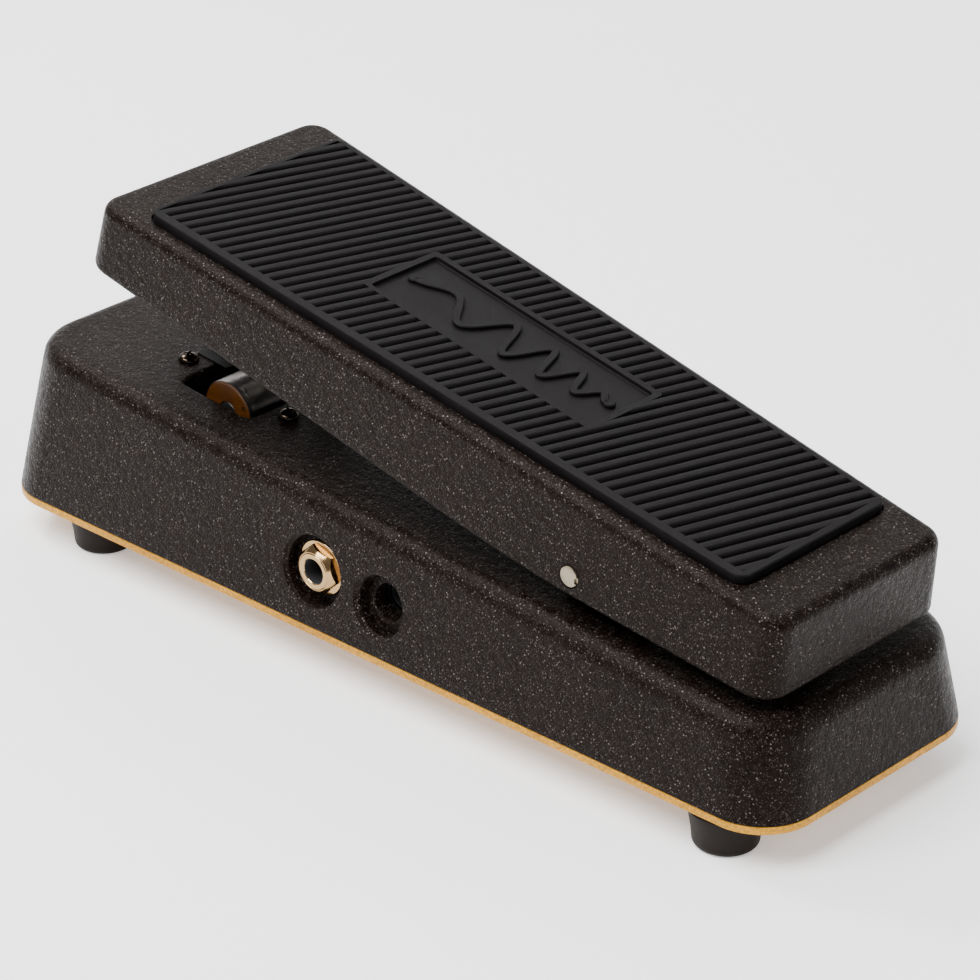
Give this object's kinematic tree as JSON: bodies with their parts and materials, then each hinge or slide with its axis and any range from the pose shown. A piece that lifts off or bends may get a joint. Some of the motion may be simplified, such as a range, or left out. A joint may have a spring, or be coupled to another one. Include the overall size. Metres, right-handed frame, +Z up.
{
  "type": "guitar effects pedal",
  "caption": "Rocker effects pedal: tapered cast base, pitched treadle with ribbed rubber mat on a cross shaft, rack-driven potentiometer, toe switch and side sockets.",
  "frame": {"origin": "centre of the bounding box at the feet's undersides", "axes": "+Z up, +X from the toe towards the heel, -Y the side with the power socket"},
  "size_m": [0.252, 0.0932, 0.0972],
  "materials": {
    "cast": "black hammertone powder coat with silver fleck",
    "gold": "grained gold satin",
    "rubber": "matt moulded",
    "foot_rubber": "matt",
    "steel": "turned",
    "zinc": "zinc plated",
    "black_screw": "blackened",
    "nickel": "polished nickel",
    "can": "dull plated",
    "phenolic": "brown phenolic",
    "brass": "turned",
    "nylon": "natural nylon",
    "black_plastic": "moulded",
    "blue_plastic": "moulded",
    "felt": "dense pad",
    "board": "solder mask",
    "parts": "mixed",
    "cell": "printed can",
    "foam": "foam",
    "wire": "insulation"
  },
  "bodies": {
    "base": {"base_shell": "cast", "bottom_plate": "gold", "rubber_feet": "foot_rubber", "foot_screws": "zinc", "pivot_bushes": "nylon", "heel_bumper": "foot_rubber", "pot_bracket": "black_screw", "bracket_screws": "black_screw", "pot_can": "can", "pot_wafers": "phenolic", "pot_bushing": "brass", "pot_nut": "zinc", "footswitch": "blue_plastic", "footswitch_nut": "nickel", "output_jack": "nickel", "output_jack_nut": "nickel", "input_jack": "nickel", "input_jack_nut": "nickel", "dc_jack": "black_plastic", "circuit_board": "board", "components": "parts", "standoffs": "nylon", "board_screws": "zinc", "battery": "cell", "battery_pad": "foam", "battery_snap": "black_plastic", "battery_leads": "wire", "signal_wires": "wire"},
    "treadle": {"treadle": "cast", "rubber_mat": "rubber", "pivot_shaft": "steel", "shaft_set_screw": "black_screw", "toe_pad": "felt", "rack_hanger": "zinc", "hanger_pin": "steel", "hanger_screws": "zinc"},
    "rack": {"rack": "nylon"},
    "pot_rotor": {"pot_shaft": "steel", "pinion": "nylon"},
    "button": {"footswitch_button": "nickel"}
  },
  "joints": [
    {"name": "treadle_hinge", "type": "hinge", "parent": "base", "child": "treadle", "pos_m": [0.06137, 0, 0.05087], "axis": [0, -1, 0], "range_deg": [0, 8.6]},
    {"name": "rack_slide", "type": "slide", "parent": "base", "child": "rack", "axis": [0, 0, -1], "range_m": [0, 0.0174]},
    {"name": "pot_turn", "type": "hinge", "parent": "base", "child": "pot_rotor", "pos_m": [-0.0625, 0, 0.04495], "axis": [0, 1, 0], "range_deg": [0, 166.5]},
    {"name": "button_press", "type": "slide", "parent": "base", "child": "button", "axis": [-0.0748, 0, -0.9972], "range_m": [0, 0.002], "stiffness_N_per_m": 2000, "springref_m": -0.002}
  ],
  "couplings": [
    {"joint": "rack_slide", "follows": "treadle_hinge", "m_per_rad": 0.1151},
    {"joint": "pot_turn", "follows": "treadle_hinge", "ratio": 19.183}
  ]
}
